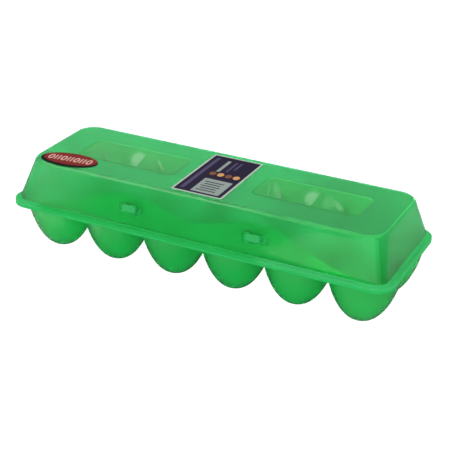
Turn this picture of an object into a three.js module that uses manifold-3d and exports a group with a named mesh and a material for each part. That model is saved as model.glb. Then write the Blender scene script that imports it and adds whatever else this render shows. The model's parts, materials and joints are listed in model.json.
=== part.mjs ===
// Reusable box for twelve eggs, moulded in translucent green polypropylene.
// Millimetres, +Z up. The box stands on the flat bottoms of its egg cups at z = 0.
// X runs along the box. The front, with the locking flap, faces -Y and the lid hinges at +Y.
// The base is one moulding in use. Here each egg cup and post of it is a mesh of its own.

import * as THREE from 'three';
import { mergeVertices } from 'three/addons/utils/BufferGeometryUtils.js';
import Module from 'manifold-3d';

const wasm = await Module();
wasm.setup();

// Whole box
const boxHeight = 73.3;
const rimLength = 300;
const rimDepth = 107;
const rimCorner = 13.5;
const wall = 1.2;
const fitGap = 0.3;
const overrun = 2;

// Egg cups, in rows along the box
const cupColumns = 6;
const cupRows = 2;
const rowEndMargin = 3.45;
const rowSideMargin = 8.5;
const bowlOverlapX = 2.175;
const bowlOverlapY = 2.2;
const cupFoot = 3;
const cupDepth = 37.7;
const depthPower = 1.4;
const radiusPower = 0.51;
const cupSides = 24;
const cupBands = 6;

// Rims that meet between the base and the lid
const deckThickness = 2;
const lidRim = 2.1;

// Lid, set back on the rim, whose walls lean in from the foot to the crown
const footSetbackX = 4.2;
const footSetbackY = 2.3;
const footCorner = 10;
const crownSetbackX = 6.4;
const crownSetbackY = 8.15;
const crownCorner = 15;
const crownFillet = 3.9;
const filletSteps = 3;
const cornerSteps = 5;

// Polished windows sunk into the lid
const windowSpacing = 63;
const windowEndMargin = 27.4;
const windowSideMargin = 26.05;
const windowCorner = 5;
const windowSink = 0.5;

// Posts between the cups, which hold the lid up under a stack
const postCount = 5;
const postFoot = 8.4;
const postTip = 3;
const postHeadroom = 1.4;
const postFlare = 2.2;
const postSides = 12;
const postBands = 4;

// Locking flap, hinged at the front of the base and leaning inside the lid
const flapEndMargin = 20.3;
const flapHeadroom = 6.2;
const flapThickness = 1.1;
const flapClearance = 0.45;
const flapWebHeight = 0.8;
const flapWebThickness = 0.6;

// Outline of half the flap, from its middle to its end: along its length, up its height
const flapOutlineShares = [
  [0, 0.547], [0.167, 0.778], [0.307, 0.956], [0.414, 1],
  [0.51, 0.951], [0.63, 0.72], [0.725, 0.498], [0.857, 0.28], [1, 0.1],
];

// Catch buttons on the flap, and the slots that they snap into
const catchHeightShare = 0.5924;
const buttonLength = 11.4;
const buttonHeight = 5.2;
const buttonReach = 5;
const buttonCorner = 1;
const buttonRounding = 0.8;
const slotLength = 17.5;
const slotHeight = 7;

// Living hinge of the lid: two thin leaves that meet at the fold
const hingeReach = 2;
const leafEndMargin = 25;
const leafThickness = 0.6;

// Paper label and oval sticker on the lid
const paper = 0.2;
const glue = 0.05;
const labelLength = 40;
const labelDepth = 73;
const labelX = -1.5;
const labelFrontMargin = 4.95;
const stickerLength = 45.6;
const stickerDepth = 19.4;
const stickerEndMargin = 5.1;
const stickerFrontMargin = 4.75;
const stickerTurn = THREE.MathUtils.degToRad(5.7);
const stickerSides = 24;

// Sizes of the cups and the lid that follow from the rim
const cupPitch = (rimLength - 2 * rowEndMargin) / cupColumns;
const rowPitch = (rimDepth - 2 * rowSideMargin) / cupRows;
const cupRadiusX = cupPitch / 2 + bowlOverlapX;
const cupRadiusY = rowPitch / 2 + bowlOverlapY;
const footLength = rimLength - 2 * footSetbackX;
const footDepth = rimDepth - 2 * footSetbackY;
const crownLength = footLength - 2 * crownSetbackX;
const crownDepth = footDepth - 2 * crownSetbackY;

// Heights that follow from the sizes above
const deckTop = cupDepth + deckThickness;
const lidUnderside = deckTop + fitGap;
const lidFootZ = lidUnderside + lidRim;
const crownZ = boxHeight - crownFillet;
const lidLean = Math.atan2(crownSetbackY, crownZ - lidFootZ);

// Places and sizes of what the lid carries or covers
const windowLength = (crownLength - windowSpacing) / 2 - windowEndMargin;
const windowDepth = crownDepth - 2 * windowSideMargin;
const windowOffset = (windowSpacing + windowLength) / 2;
const labelY = labelFrontMargin + (labelDepth - crownDepth) / 2;
const stickerX = stickerEndMargin + (stickerLength - crownLength) / 2;
const stickerY = stickerFrontMargin + (stickerDepth - crownDepth) / 2;
const hingeY = rimDepth / 2 + hingeReach;
const leafLength = rimLength - 2 * leafEndMargin;
const flapAxisZ = deckTop + flapWebHeight + fitGap / 2;
const flapStandoff = (flapThickness / 2 + flapClearance) / Math.cos(lidLean);
const flapAxisY = flapStandoff - lidWallY(flapAxisZ);
const flapLength = footLength - 2 * flapEndMargin;
const flapHeight = (crownZ - flapAxisZ) / Math.cos(lidLean) - flapHeadroom;
const catchHeight = flapHeight * catchHeightShare;
const catchOffset = cupPitch;

const greens = { roughness: 0.35, metalness: 0, flatShading: true };
const baseGreen = new THREE.MeshStandardMaterial({ ...greens, color: '#2fb060' });
const lidGreen = new THREE.MeshStandardMaterial({ ...greens, color: '#46bc6c' });
const flapGreen = new THREE.MeshStandardMaterial({ ...greens, color: '#22a84d' });
const labelPaper = new THREE.MeshStandardMaterial({ color: '#2b2340', roughness: 0.5, metalness: 0 });
const stickerPaper = new THREE.MeshStandardMaterial({ color: '#8a1f1d', roughness: 0.4, metalness: 0 });

// Inside face of the lid's front wall at a height, measured forward from the middle of the box
function lidWallY(z) {
  return footDepth / 2 - wall - (z - lidFootZ) * Math.tan(lidLean);
}

// A closed solid from a geometry whose shared corners are merged
function solid(geometry) {
  const bare = geometry.clone();
  bare.deleteAttribute('normal');
  bare.deleteAttribute('uv');
  const merged = mergeVertices(bare);
  const corners = Array.from(merged.index.array);
  const faces = corners.filter((corner, i) => {
    const [a, b, c] = corners.slice(i - i % 3, i - i % 3 + 3);
    return a !== b && b !== c && c !== a;
  });
  return new wasm.Manifold(new wasm.Mesh({
    numProp: 3,
    vertProperties: merged.attributes.position.array,
    triVerts: Uint32Array.from(faces),
  }));
}

// A named mesh from a solid
function piece(name, shape, material) {
  const { vertProperties, triVerts } = shape.getMesh();
  const geometry = new THREE.BufferGeometry();
  geometry.setAttribute('position', new THREE.BufferAttribute(vertProperties, 3));
  geometry.setIndex(new THREE.BufferAttribute(triVerts, 1));
  geometry.computeVertexNormals();
  const mesh = new THREE.Mesh(geometry, material);
  mesh.name = name;
  return mesh;
}

// A block between two heights, centred on x and y
function block(length, depth, bottom, top, x = 0, y = 0) {
  const geometry = new THREE.BoxGeometry(length, depth, top - bottom);
  return solid(geometry.translate(x, y, (top + bottom) / 2));
}

// A flat outline raised from one height to another
function plate(outline, bottom, top, curveSegments = cornerSteps) {
  const depth = top - bottom;
  const geometry = new THREE.ExtrudeGeometry(outline, { depth, bevelEnabled: false, curveSegments });
  return solid(geometry.translate(0, 0, bottom));
}

// A rectangle with round corners, centred on the origin
function roundedRectangle(length, depth, corner) {
  const x = length / 2 - corner;
  const y = depth / 2 - corner;
  const outline = new THREE.Shape();
  outline.absarc(x, y, corner, 0, Math.PI / 2);
  outline.absarc(-x, y, corner, Math.PI / 2, Math.PI);
  outline.absarc(-x, -y, corner, Math.PI, Math.PI * 1.5);
  outline.absarc(x, -y, corner, Math.PI * 1.5, Math.PI * 2);
  return outline;
}

function ellipse(radiusX, radiusY) {
  const outline = new THREE.Shape();
  outline.absellipse(0, 0, radiusX, radiusY, 0, Math.PI * 2);
  return outline;
}

// A round shape turned about the vertical axis, from points of radius and height
function turned(points, sides) {
  const profile = points.map(([radius, z]) => new THREE.Vector2(radius, z));
  return new THREE.LatheGeometry(profile, sides).rotateX(Math.PI / 2);
}

// The solid between stacked outlines that all have the same number of points
function loft(rings) {
  const count = rings[0].length;
  const positions = rings.flat().flatMap((point) => point.toArray());
  const faces = [];
  for (let i = 1; i < count - 1; i += 1) {
    const top = (rings.length - 1) * count;
    faces.push(0, i + 1, i, top, top + i, top + i + 1);
  }
  for (let ring = 0; ring < rings.length - 1; ring += 1) {
    for (let i = 0; i < count; i += 1) {
      const a = ring * count + i;
      const b = ring * count + (i + 1) % count;
      faces.push(a, b, b + count, a, b + count, a + count);
    }
  }
  const geometry = new THREE.BufferGeometry();
  geometry.setAttribute('position', new THREE.Float32BufferAttribute(positions, 3));
  geometry.setIndex(faces);
  return solid(geometry);
}

function ringAt(length, depth, corner, z) {
  const points = roundedRectangle(length, depth, corner).getPoints(cornerSteps);
  return points.map((point) => new THREE.Vector3(point.x, point.y, z));
}

// Inside or outside of the lid: leaning walls from the underside, then the round crown edge
function lidForm(inset, bottom) {
  const rise = crownZ - lidFootZ;
  const rings = [bottom, lidFootZ, crownZ].map((z) => {
    const share = (z - lidFootZ) / rise;
    const length = THREE.MathUtils.lerp(footLength, crownLength, share);
    const depth = THREE.MathUtils.lerp(footDepth, crownDepth, share);
    const corner = THREE.MathUtils.lerp(footCorner, crownCorner, share);
    return ringAt(length - 2 * inset, depth - 2 * inset, corner - inset, z);
  });
  const fillet = crownFillet - inset;
  for (let step = 1; step <= filletSteps; step += 1) {
    const angle = (step / filletSteps) * (Math.PI / 2);
    const shrink = inset + fillet * (1 - Math.cos(angle));
    const z = crownZ + fillet * Math.sin(angle);
    rings.push(ringAt(crownLength - 2 * shrink, crownDepth - 2 * shrink, crownCorner - shrink, z));
  }
  return loft(rings);
}

// Half an egg shape below a height: wide at the top, round, with a small flat bottom
function cupForm(radiusX, radiusY, bottom, top) {
  const points = [[0, top]];
  for (let band = 0; band <= cupBands; band += 1) {
    const depth = Math.sin((band / cupBands) * (Math.PI / 2));
    const width = (1 - depth ** depthPower) ** radiusPower;
    points.push([cupFoot + (radiusX - cupFoot) * width, top - depth * (top - bottom)]);
  }
  points.push([0, bottom]);
  const geometry = turned(points.reverse(), cupSides);
  return solid(geometry.scale(1, radiusY / radiusX, 1));
}

function columnX(column) {
  return (column - (cupColumns - 1) / 2) * cupPitch;
}

function rowY(row) {
  return (row - (cupRows - 1) / 2) * rowPitch;
}

// One egg cup: a bowl, cut flat where the next cup joins it
function eggCup(column, row) {
  const top = cupDepth - fitGap;
  const outside = cupForm(cupRadiusX, cupRadiusY, 0, top);
  const hollow = cupForm(cupRadiusX - wall, cupRadiusY - wall, wall, top);
  const mouth = plate(ellipse(cupRadiusX - wall, cupRadiusY - wall), top, top + overrun, cupSides / 2);
  const left = column === 0 ? cupRadiusX + overrun : (cupPitch - fitGap) / 2;
  const right = column === cupColumns - 1 ? cupRadiusX + overrun : (cupPitch - fitGap) / 2;
  const front = row === 0 ? cupRadiusY + overrun : (rowPitch - fitGap) / 2;
  const back = row === cupRows - 1 ? cupRadiusY + overrun : (rowPitch - fitGap) / 2;
  const cell = block(left + right, front + back, -overrun, boxHeight, (right - left) / 2, (back - front) / 2);
  return outside.subtract(hollow.add(mouth)).intersect(cell);
}

// Round openings of the deck over every cup
function cupMouths(bottom, top) {
  const mouth = plate(ellipse(cupRadiusX - wall, cupRadiusY - wall), bottom, top, cupSides / 2);
  const mouths = [];
  for (let row = 0; row < cupRows; row += 1) {
    for (let column = 0; column < cupColumns; column += 1) {
      mouths.push(mouth.translate([columnX(column), rowY(row), 0]));
    }
  }
  return wasm.Manifold.union(mouths);
}

// The rim of the base, with pointed webs that reach in between the cups
function baseRim() {
  const rim = plate(roundedRectangle(rimLength, rimDepth, rimCorner), cupDepth, deckTop);
  const middle = block((cupColumns - 1) * cupPitch, rowPitch, cupDepth - overrun, deckTop + overrun);
  return rim.subtract(cupMouths(cupDepth - overrun, deckTop + overrun)).subtract(middle);
}

// A hollow post on the patch of deck between four cups
function dividerPost(x) {
  const top = boxHeight - wall - postHeadroom;
  const flared = (inset, foot, tip) => {
    const points = [[0, foot]];
    for (let band = 0; band <= postBands; band += 1) {
      const share = band / postBands;
      const radius = postTip + (postFoot - postTip) * (1 - share) ** postFlare;
      points.push([radius - inset, foot + share * (tip - foot)]);
    }
    points.push([0, tip]);
    return solid(turned(points, postSides));
  };
  const patch = block(cupPitch, rowPitch, cupDepth, deckTop, x);
  const deck = patch.subtract(cupMouths(cupDepth - overrun, deckTop + overrun));
  const cone = flared(0, deckTop - deckThickness / 2, top).translate([x, 0, 0]);
  const hollow = flared(wall, cupDepth - overrun, top - wall).translate([x, 0, 0]);
  return deck.add(cone).subtract(hollow);
}

// The slots turn with the lean of the wall, as the buttons do
function atFlap(shape, x) {
  return shape.rotate([-THREE.MathUtils.radToDeg(lidLean), 0, 0]).translate([x, flapAxisY, flapAxisZ]);
}

function lidShell() {
  const rim = plate(roundedRectangle(rimLength, rimDepth, rimCorner), lidUnderside, lidFootZ);
  const hollow = lidForm(wall, lidUnderside - overrun);
  let shell = lidForm(0, lidUnderside).add(rim).subtract(hollow);
  const slot = block(slotLength, buttonReach * 2, catchHeight - slotHeight / 2, catchHeight + slotHeight / 2);
  const sunk = plate(roundedRectangle(windowLength, windowDepth, windowCorner),
    boxHeight - windowSink, boxHeight + overrun);
  for (const side of [-1, 1]) {
    shell = shell.subtract(atFlap(slot, side * catchOffset));
    shell = shell.subtract(sunk.translate([side * windowOffset, 0, 0]));
  }
  return shell;
}

// The flap stands on its hinge line, with the line at the origin and its height along z
function lockingFlap() {
  const half = flapOutlineShares.map(([along, up]) => (
    new THREE.Vector2(along * flapLength / 2, up * flapHeight)));
  const mirrored = half.slice(1).reverse().map((point) => new THREE.Vector2(-point.x, point.y));
  const outline = new THREE.Shape();
  outline.moveTo(-flapLength / 2, fitGap);
  outline.lineTo(flapLength / 2, fitGap);
  outline.lineTo(flapLength / 2, half.at(-1).y);
  outline.splineThru([...half.reverse().slice(1), ...mirrored.reverse()]);
  return plate(outline, -flapThickness / 2, flapThickness / 2, 2).rotate([90, 0, 0]);
}

// A button with rounded edges, standing out of the flap's front face
function catchButton() {
  const outline = roundedRectangle(
    buttonLength - 2 * buttonRounding, buttonHeight - 2 * buttonRounding, buttonCorner);
  const geometry = new THREE.ExtrudeGeometry(outline, {
    depth: buttonReach - buttonRounding - fitGap,
    bevelThickness: buttonRounding,
    bevelSize: buttonRounding,
    bevelSegments: 2,
    curveSegments: 2,
  });
  const nose = solid(geometry.translate(0, 0, fitGap));
  const keep = block(buttonLength * 2, buttonHeight * 2, fitGap, buttonReach * 2);
  return nose.intersect(keep).rotate([90, 0, 0]).translate([0, -flapThickness / 2, catchHeight]);
}

// Half of the lid's living hinge, on the base below the fold or on the lid above it
function hingeLeaf(bottom, top) {
  const depth = hingeReach - fitGap * 1.5;
  return block(leafLength, depth, bottom, top, 0, hingeY - fitGap / 2 - depth / 2);
}

// The box is set forward a little, so that the rims and the hinge together are centred
const box = new THREE.Group();
box.position.y = -(hingeReach - fitGap / 2) / 2;

box.add(piece('base_rim', baseRim(), baseGreen));
for (let row = 0; row < cupRows; row += 1) {
  for (let column = 0; column < cupColumns; column += 1) {
    const cup = piece(`egg_cup_${row ? 'back' : 'front'}_${column + 1}`, eggCup(column, row), baseGreen);
    cup.position.set(columnX(column), rowY(row), 0);
    box.add(cup);
  }
}
for (let post = 0; post < postCount; post += 1) {
  const x = (post - (postCount - 1) / 2) * cupPitch;
  box.add(piece(`divider_post_${post + 1}`, dividerPost(x), baseGreen));
}
box.add(piece('flap_hinge_web',
  block(flapLength, flapWebThickness, deckTop, deckTop + flapWebHeight, 0, flapAxisY), baseGreen));
box.add(piece('lid_hinge_lower_leaf', hingeLeaf(deckTop - leafThickness, deckTop), baseGreen));
box.add(piece('lid_hinge_upper_leaf', hingeLeaf(lidUnderside, lidUnderside + leafThickness), lidGreen));
box.add(piece('lid_shell', lidShell(), lidGreen));

const flap = new THREE.Group();
flap.position.set(0, flapAxisY, flapAxisZ);
flap.rotation.x = -lidLean;
flap.add(piece('locking_flap', lockingFlap(), flapGreen));
for (const [side, sign] of [['left', -1], ['right', 1]]) {
  const button = piece(`catch_button_${side}`, catchButton(), flapGreen);
  button.position.x = sign * catchOffset;
  flap.add(button);
}
box.add(flap);

const label = piece('lid_label', block(labelLength, labelDepth, 0, paper), labelPaper);
label.position.set(labelX, labelY, boxHeight + glue);
const sticker = piece('oval_sticker',
  plate(ellipse(stickerLength / 2, stickerDepth / 2), 0, paper, stickerSides / 2), stickerPaper);
sticker.position.set(stickerX, stickerY, boxHeight + glue);
sticker.rotation.z = stickerTurn;
box.add(label, sticker);

const eggBox = new THREE.Group();
eggBox.add(box);

export default eggBox;
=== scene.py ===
# %% [markdown]
# # A reusable egg box in translucent green plastic
# The real box is injection moulded in one shot from polypropylene, a plastic that bends a million times
# before it breaks. So one moulding is the tray of twelve cups, the lid, the locking flap and both of their
# hinges. Two stickers are its only other pieces. This lesson builds every visible surface from a formula,
# gives it its plastic or its paper, and lights it as in a product photograph.
#
# The frame comes first. It holds the box's moving bodies and its exact sizes, and every piece below rides
# on it.

# %% The frame that every piece rides on
import json

import bmesh
import bpy
import numpy as np
from mathutils import Matrix, Vector


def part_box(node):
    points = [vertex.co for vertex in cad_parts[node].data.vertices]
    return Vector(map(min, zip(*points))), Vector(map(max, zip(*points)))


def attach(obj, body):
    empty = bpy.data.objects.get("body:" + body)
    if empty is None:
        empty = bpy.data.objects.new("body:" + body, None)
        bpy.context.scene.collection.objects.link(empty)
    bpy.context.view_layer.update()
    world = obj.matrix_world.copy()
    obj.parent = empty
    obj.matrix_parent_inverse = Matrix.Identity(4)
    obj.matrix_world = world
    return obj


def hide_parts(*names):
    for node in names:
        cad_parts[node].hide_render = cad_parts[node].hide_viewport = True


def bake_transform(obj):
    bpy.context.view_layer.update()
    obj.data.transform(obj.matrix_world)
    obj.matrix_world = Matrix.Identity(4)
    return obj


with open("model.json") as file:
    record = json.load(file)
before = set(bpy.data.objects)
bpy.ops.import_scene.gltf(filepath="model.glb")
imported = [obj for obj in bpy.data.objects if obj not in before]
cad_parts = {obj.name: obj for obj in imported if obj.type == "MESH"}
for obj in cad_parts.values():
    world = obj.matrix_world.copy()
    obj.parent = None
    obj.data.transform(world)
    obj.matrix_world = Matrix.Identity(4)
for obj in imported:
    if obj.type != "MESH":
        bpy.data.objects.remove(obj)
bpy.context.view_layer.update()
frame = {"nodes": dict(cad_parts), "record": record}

# %% [markdown]
# ## Sizes
# A maker works in millimetres and Blender in metres, so each size below is written in millimetres times
# `MM`. The main sizes are read off the frame instead, so that the two can't disagree. The lid's wall leans
# in by its run over its rise. `TOUCH` is how close two points may come before they count as one.

# %% The box's own sizes
MM = 0.001
rim_low, rim_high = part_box("base_rim")
lid_low, lid_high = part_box("lid_shell")
MIDDLE_Y = (rim_low.y + rim_high.y) / 2
RIM_LENGTH = rim_high.x - rim_low.x
RIM_DEPTH = rim_high.y - rim_low.y
RIM_CORNER = 13.5 * MM
DECK_UNDERSIDE = rim_low.z
DECK_TOP = rim_high.z
LID_UNDERSIDE = lid_low.z
LID_TOP = lid_high.z
WALL = 1.2 * MM
LEAN_RUN, LEAN_RISE = 8.15 * MM, 27.3 * MM
LID_LEAN = np.arctan2(LEAN_RUN, LEAN_RISE)
TOUCH = 0.001 * MM
print(f"rim {RIM_LENGTH / MM:.1f} x {RIM_DEPTH / MM:.1f} mm, height {LID_TOP / MM:.1f} mm")

# %% [markdown]
# ## From arrays to a mesh
# Each surface is a grid of points worked out by numpy. One helper numbers the four corners of every grid
# square, and another turns the points and squares into a Blender mesh. Where two grids meet they repeat the
# same points, so these are merged, which leaves one closed skin without seams.

# %% Grids and meshes
MERGED_WITHIN = 0.002 * MM
SHARP_EDGE = np.radians(38)


def stacked(*parts):
    """Arrays and numbers stretched to one shape, and set side by side along a last axis."""
    return np.stack(np.broadcast_arrays(*parts), axis=-1)


def quarter_turn(steps):
    """Even angles from 0 to a quarter circle."""
    return np.linspace(0, np.pi / 2, steps + 1)


def grid_squares(rows, columns, closed=False):
    """Corner numbers of each square of a grid, whose points are numbered along one row after another."""
    row = np.arange(rows - 1)[:, None] * columns
    column = np.arange(columns if closed else columns - 1)[None, :]
    beside = (column + 1) % columns
    return stacked(row + column, row + beside, row + columns + beside, row + columns + column).reshape(-1, 4)


def patch(grid, closed=False, flipped=False):
    """A grid as a patch: its points in one row, and its squares, numbered the other way round if flipped."""
    squares = grid_squares(*grid.shape[:2], closed)
    return grid.reshape(-1, 3), squares[:, ::-1] if flipped else squares


def joined(patches):
    """Several patches as one: each patch's corner numbers move up by the number of points before it."""
    starts = np.cumsum([0] + [len(points) for points, _ in patches[:-1]])
    points = np.concatenate([points for points, _ in patches])
    faces = [start + part for start, (_, parts) in zip(starts, patches)
             for part in (parts if isinstance(parts, list) else [parts])]
    return points, faces


def make_piece(name, *patches):
    """A mesh object from patches, moved to the box's place along y, with the points that coincide merged."""
    points, faces = joined(patches)
    mesh = bpy.data.meshes.new(name)
    lists = [face for part in faces for face in part.tolist()]
    mesh.from_pydata((points + (0, MIDDLE_Y, 0)).tolist(), [], lists)
    shape = bmesh.new()
    shape.from_mesh(mesh)
    bmesh.ops.remove_doubles(shape, verts=shape.verts, dist=MERGED_WITHIN)
    bmesh.ops.recalc_face_normals(shape, faces=shape.faces)
    shape.to_mesh(mesh)
    shape.free()
    piece = bpy.data.objects.new(name, mesh)
    bpy.context.scene.collection.objects.link(piece)
    return piece


def thicken(piece, wall, offset=-1, even=False):
    """Gives a sheet its wall, which grows inwards from the sheet, or to both sides where the offset is 0."""
    modifier = piece.modifiers.new("wall", "SOLIDIFY")
    modifier.thickness, modifier.offset, modifier.use_even_offset = wall, offset, even


def finish_piece(piece):
    """Applies the piece's modifiers and shades it smooth, with its sharp edges kept crisp."""
    piece.data = bpy.data.meshes.new_from_object(
        piece.evaluated_get(bpy.context.evaluated_depsgraph_get()))
    piece.modifiers.clear()
    piece.data.name = piece.name
    piece.data.shade_smooth()
    piece.data.set_sharp_from_angle(angle=SHARP_EDGE)
    loose = sum(edge.is_loose for edge in piece.data.edges)
    print(f"{piece.name}: {len(piece.data.polygons)} faces, {loose} loose edges")
    return piece


# %% [markdown]
# ## Rounded rectangles
# Rim, lid, windows, slots and buttons are all rectangles with round corners. A ring of them is written
# once, as corner centres plus a quarter turn about each, and the distance to such an outline is written
# once as well.

# %% Rounded rectangles
def rounded_ring(length, depth, corner, steps=6):
    """A rounded rectangle: each corner's centre plus the corner's radius turned through a quarter circle."""
    angle = np.concatenate([quarter_turn(steps) + turn * np.pi / 2 for turn in range(4)])
    side_x = np.repeat([1, -1, -1, 1], steps + 1)
    side_y = np.repeat([1, 1, -1, -1], steps + 1)
    return stacked((length / 2 - corner) * side_x + corner * np.cos(angle),
                   (depth / 2 - corner) * side_y + corner * np.sin(angle))


def outline_distance(x, y, length, depth, corner):
    """Distance outside a rounded rectangle: the reach past its corners' centres, less the corner's radius."""
    past_x = np.abs(x) - (length / 2 - corner)
    past_y = np.abs(y) - (depth / 2 - corner)
    outside = np.hypot(np.maximum(past_x, 0), np.maximum(past_y, 0))
    return outside + np.minimum(np.maximum(past_x, past_y), 0) - corner


def from_pair(x, y, offset, outline):
    """Distance outside the nearer one of two equal outlines, at this offset on each side of the middle."""
    return np.min([outline_distance(x - side * offset, y, *outline) for side in (-1, 1)], axis=0)


def smooth_step(value, low, high):
    """0 below low, 1 above high, and an S curve between them."""
    share = np.clip((value - low) / (high - low), 0, 1)
    return share * share * (3 - 2 * share)


# %% [markdown]
# ## The camera
# The photograph was taken with a long lens from the box's right front, a quarter of a right angle round and
# as much up. Its place was solved from the box's outline in the picture. The slight roll comes from the
# same solution.

# %% The camera at the photograph's place
TARGET = Vector((4.64 * MM, MIDDLE_Y, 34.74 * MM))
CAMERA_DISTANCE = 929.15 * MM
CAMERA_TURN = np.radians(24.76)
CAMERA_RISE = np.radians(25.43)
CAMERA_ROLL = np.radians(2.11)
FOCAL_PIXELS = 1255.5
PICTURE_PIXELS = 450
SENSOR = 36

sight = Vector((-np.sin(CAMERA_TURN) * np.cos(CAMERA_RISE), np.cos(CAMERA_TURN) * np.cos(CAMERA_RISE),
                -np.sin(CAMERA_RISE)))
level = Vector((np.cos(CAMERA_TURN), np.sin(CAMERA_TURN), 0))
right = Matrix.Rotation(-CAMERA_ROLL, 3, sight) @ level
above = right.cross(sight)
view = bpy.data.cameras.new("camera")
view.lens = FOCAL_PIXELS / PICTURE_PIXELS * SENSOR
view.sensor_width = SENSOR
camera = bpy.data.objects.new("camera", view)
camera.matrix_world = Matrix.Translation(TARGET - CAMERA_DISTANCE * sight) @ Matrix(
    (right, above, -sight)).transposed().to_4x4()
bpy.context.scene.collection.objects.link(camera)
bpy.context.scene.camera = camera
print("camera at", [round(value, 4) for value in camera.location])

# %% [markdown]
# ## The tray of egg cups
# Each cup is half an egg: wide at the mouth, with a wall that starts upright and curls under to a small
# flat foot. The cups are set closer than their own width, so neighbours run into each other in a saddle,
# and at the front they stand clear as six round bellies under a flat rim.
#
# One quarter of a cup is a fan of lines from its foot to the edge of its cell. A line climbs the bowl, and
# where the bowl is still inside the cell it goes on over the flat deck. The cell's edge is either a
# straight border shared with the next cup, or the rounded edge of the rim. Four kinds of quarter, mirrored
# and moved, give all forty-eight. Outside and inside are worked out in the same way, one wall apart, and
# meet round the rim.

# %% One quarter of an egg cup
CUP_COLUMNS = 6
CUP_ROWS = 2
CUP_PITCH = 48.85 * MM
ROW_PITCH = 45 * MM
CUP_RADIUS_X = 26.6 * MM
CUP_RADIUS_Y = 24.7 * MM
CUP_FOOT = 3 * MM
DEPTH_POWER = 1.4
RADIUS_POWER = 0.51
EDGE_ROUNDING = 0.3 * MM
MOUTH_ROUNDING = 0.5 * MM
FAN_LINES = 17
BOWL_STEPS = 18
DECK_STEPS = 3
EDGE_STEPS = 4
ANGLE_DIGITS = 9


def bowl_width(depth_share):
    """Half width, 1 at the mouth and 0 at the foot: (1 - depth to the power 1.4) to the power 0.51."""
    return (1 - depth_share ** DEPTH_POWER) ** RADIUS_POWER


def bowl_depth(width):
    """The depth share at which the bowl has this half width: the same formula solved for the depth."""
    return (1 - width ** (1 / RADIUS_POWER)) ** (1 / DEPTH_POWER)


def cell_edge(angle, reach_x, reach_y, rim_x, rim_y):
    """Where a line from the cup's centre leaves its cell, and the outward direction of the rim there.

    Straight borders are at reach_x and reach_y. Where the rim passes nearer it is the edge: two straight
    sides joined by a round corner, met by solving the line against the corner's circle."""
    cos, sin = np.cos(angle), np.sin(angle)
    with np.errstate(divide="ignore"):
        along = np.minimum(reach_x / cos, reach_y / sin)
    x, y = along * cos, along * sin
    way_x = np.where(np.isclose(x, rim_x), 1.0, 0.0)
    way_y = np.where(np.isclose(y, rim_y), 1.0, 0.0)
    corner = RIM_CORNER - EDGE_ROUNDING
    middle_x, middle_y = rim_x - corner, rim_y - corner
    in_corner = (x > middle_x) & (y > middle_y) & (way_x + way_y > 0)
    dot = middle_x * cos + middle_y * sin
    root = np.sqrt(np.maximum(dot ** 2 - middle_x ** 2 - middle_y ** 2 + corner ** 2, 0))
    along = np.where(in_corner, dot + root, along)
    x, y = along * cos, along * sin
    way_x = np.where(in_corner, (x - middle_x) / corner, way_x)
    way_y = np.where(in_corner, (y - middle_y) / corner, way_y)
    return along, way_x, way_y


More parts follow.
